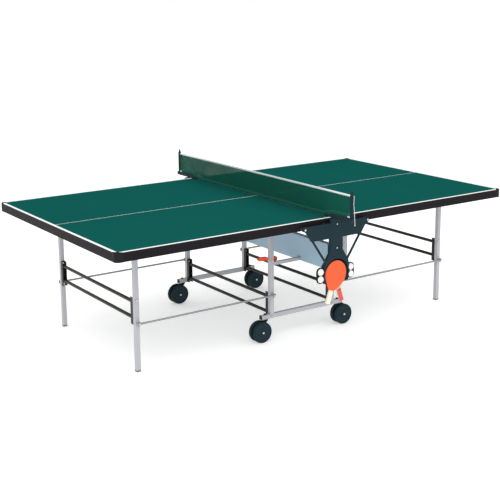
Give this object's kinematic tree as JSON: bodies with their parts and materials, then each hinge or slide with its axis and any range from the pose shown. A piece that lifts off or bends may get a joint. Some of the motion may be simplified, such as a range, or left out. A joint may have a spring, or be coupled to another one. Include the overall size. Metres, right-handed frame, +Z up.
{
  "type": "table tennis table",
  "caption": "Rollaway table tennis table with two folding half-tops, wheeled undercarriage, net, side plates and holders for bats and balls.",
  "frame": {"origin": "on the floor, under the middle of the net", "axes": "+X along the length of the table, +Y across it to the side without the stored bats, +Z up"},
  "size_m": [2.74, 1.8814, 0.9355],
  "materials": {
    "playing_green": "fine matte, low gloss",
    "apron_black": "satin powder coat",
    "black_plastic": "moulded, fine grain",
    "grey_plastic": "moulded",
    "frame_silver": "satin silver-grey powder coat",
    "frame_black": "semi-gloss black powder coat",
    "zinc_steel": "zinc plated",
    "rod_steel": "satin grey powder coat",
    "beam_blue_grey": "satin powder coat",
    "slate_plastic": "moulded, fine grain",
    "net_green": "open polyester netting",
    "net_white": "woven tape",
    "white_plastic": "moulded",
    "cord_grey": "braided cord",
    "bat_orange": "rubber faced wood",
    "bat_red": "rubber faced wood, painted handle",
    "ball_white": "smooth matte",
    "lever_orange": "moulded, glossy",
    "wheel_slate": "moulded, dull"
  },
  "bodies": {
    "undercarriage": {"posts_left": "frame_silver", "posts_right": "frame_silver", "base_rail_near": "frame_silver", "base_rail_far": "frame_silver", "rail_end_caps": "black_plastic", "base_cross_frame_left": "frame_black", "base_cross_frame_right": "frame_black", "lock_bar_near": "frame_silver", "lock_bar_far": "frame_silver", "centre_beam": "beam_blue_grey", "side_plate_near": "slate_plastic", "side_plate_far": "slate_plastic", "ball_loops": "black_plastic", "pivot_bolts": "zinc_steel", "frame_bolts": "zinc_steel", "net_arm_near": "slate_plastic", "net_arm_far": "slate_plastic", "net_post_near": "slate_plastic", "net_post_far": "slate_plastic", "net_mesh": "net_green", "net_tape": "net_white", "net_clips": "white_plastic", "net_cord": "cord_grey", "net_cord_knot": "cord_grey"},
    "half_left": {"playing_surface_left": "playing_green", "apron_rails_left": "apron_black", "corner_caps_left": "black_plastic", "under_frame_left": "frame_silver", "hinge_brackets_left": "zinc_steel"},
    "leg_frame_left": {"legs_left": "frame_silver", "leg_cross_frame_left": "frame_black", "feet_left": "grey_plastic", "leg_bolts_left": "zinc_steel"},
    "rods_left": {"link_rods_left": "rod_steel"},
    "lever_left": {"release_lever_left": "lever_orange"},
    "half_right": {"playing_surface_right": "playing_green", "apron_rails_right": "apron_black", "corner_caps_right": "black_plastic", "under_frame_right": "frame_silver", "hinge_brackets_right": "zinc_steel"},
    "leg_frame_right": {"legs_right": "frame_silver", "leg_cross_frame_right": "frame_black", "feet_right": "grey_plastic", "leg_bolts_right": "zinc_steel"},
    "rods_right": {"link_rods_right": "rod_steel"},
    "lever_right": {"release_lever_right": "lever_orange"},
    "castor_near_left": {"castor_near_left": "black_plastic"},
    "wheels_near_left": {"wheels_near_left": "wheel_slate"},
    "castor_near_right": {"castor_near_right": "black_plastic"},
    "wheels_near_right": {"wheels_near_right": "wheel_slate"},
    "castor_far_left": {"castor_far_left": "black_plastic"},
    "wheels_far_left": {"wheels_far_left": "wheel_slate"},
    "castor_far_right": {"castor_far_right": "black_plastic"},
    "wheels_far_right": {"wheels_far_right": "wheel_slate"},
    "bat_back": {"bat_back": "bat_red"},
    "bat_front": {"bat_front": "bat_orange"},
    "ball_left_low": {"ball_left_low": "ball_white"},
    "ball_left_high": {"ball_left_high": "ball_white"},
    "ball_right_low": {"ball_right_low": "ball_white"},
    "ball_right_high": {"ball_right_high": "ball_white"}
  },
  "joints": [
    {"name": "fold_left", "type": "hinge", "parent": "undercarriage", "child": "half_left", "pos_m": [-0.225, 0, 0.722], "axis": [0, 1, 0], "range_deg": [0, 90]},
    {"name": "legs_left", "type": "hinge", "parent": "half_left", "child": "leg_frame_left", "pos_m": [-1.113, 0, 0.722], "axis": [0, 1, 0], "range_deg": [-90, 0]},
    {"name": "rods_left", "type": "hinge", "parent": "undercarriage", "child": "rods_left", "pos_m": [-0.225, 0, 0.276], "axis": [0, 1, 0], "range_deg": [0, 90]},
    {"name": "lever_left", "type": "hinge", "parent": "undercarriage", "child": "lever_left", "pos_m": [-0.225, -0.447, 0.48], "axis": [0, 1, 0], "range_deg": [0, 20], "stiffness_Nm_per_rad": 0.6, "springref_deg": -17.19},
    {"name": "fold_right", "type": "hinge", "parent": "undercarriage", "child": "half_right", "pos_m": [0.225, 0, 0.722], "axis": [0, -1, 0], "range_deg": [0, 90]},
    {"name": "legs_right", "type": "hinge", "parent": "half_right", "child": "leg_frame_right", "pos_m": [1.113, 0, 0.722], "axis": [0, -1, 0], "range_deg": [-90, 0]},
    {"name": "rods_right", "type": "hinge", "parent": "undercarriage", "child": "rods_right", "pos_m": [0.225, 0, 0.276], "axis": [0, -1, 0], "range_deg": [0, 90]},
    {"name": "lever_right", "type": "hinge", "parent": "undercarriage", "child": "lever_right", "pos_m": [0.225, -0.447, 0.48], "axis": [0, -1, 0], "range_deg": [0, 20], "stiffness_Nm_per_rad": 0.6, "springref_deg": -17.19},
    {"name": "swivel_near_left", "type": "hinge", "parent": "undercarriage", "child": "castor_near_left", "pos_m": [-0.27, -0.47, 0.13], "axis": [0, 0, 1], "continuous": true},
    {"name": "roll_near_left", "type": "hinge", "parent": "castor_near_left", "child": "wheels_near_left", "pos_m": [-0.303, -0.47, 0.0625], "axis": [0, 1, 0], "continuous": true},
    {"name": "swivel_near_right", "type": "hinge", "parent": "undercarriage", "child": "castor_near_right", "pos_m": [0.27, -0.47, 0.13], "axis": [0, 0, 1], "continuous": true},
    {"name": "roll_near_right", "type": "hinge", "parent": "castor_near_right", "child": "wheels_near_right", "pos_m": [0.303, -0.47, 0.0625], "axis": [0, 1, 0], "continuous": true},
    {"name": "swivel_far_left", "type": "hinge", "parent": "undercarriage", "child": "castor_far_left", "pos_m": [-0.27, 0.47, 0.13], "axis": [0, 0, 1], "continuous": true},
    {"name": "roll_far_left", "type": "hinge", "parent": "castor_far_left", "child": "wheels_far_left", "pos_m": [-0.303, 0.47, 0.0625], "axis": [0, 1, 0], "continuous": true},
    {"name": "swivel_far_right", "type": "hinge", "parent": "undercarriage", "child": "castor_far_right", "pos_m": [0.27, 0.47, 0.13], "axis": [0, 0, 1], "continuous": true},
    {"name": "roll_far_right", "type": "hinge", "parent": "castor_far_right", "child": "wheels_far_right", "pos_m": [0.303, 0.47, 0.0625], "axis": [0, 1, 0], "continuous": true},
    {"name": "bat_back_out", "type": "slide", "parent": "undercarriage", "child": "bat_back", "axis": [0, -1, 0], "range_m": [0, 0.08]},
    {"name": "bat_front_out", "type": "slide", "parent": "bat_back", "child": "bat_front", "axis": [0, -1, 0], "range_m": [0, 0.08]},
    {"name": "ball_left_low_out", "type": "slide", "parent": "undercarriage", "child": "ball_left_low", "axis": [0, -1, 0], "range_m": [0, 0.06]},
    {"name": "ball_left_high_out", "type": "slide", "parent": "undercarriage", "child": "ball_left_high", "axis": [0, -1, 0], "range_m": [0, 0.06]},
    {"name": "ball_right_low_out", "type": "slide", "parent": "undercarriage", "child": "ball_right_low", "axis": [0, -1, 0], "range_m": [0, 0.06]},
    {"name": "ball_right_high_out", "type": "slide", "parent": "undercarriage", "child": "ball_right_high", "axis": [0, -1, 0], "range_m": [0, 0.06]}
  ],
  "couplings": [
    {"joint": "legs_left", "follows": "fold_left", "ratio": -1},
    {"joint": "rods_left", "follows": "fold_left", "ratio": 1},
    {"joint": "legs_right", "follows": "fold_right", "ratio": -1},
    {"joint": "rods_right", "follows": "fold_right", "ratio": 1}
  ]
}
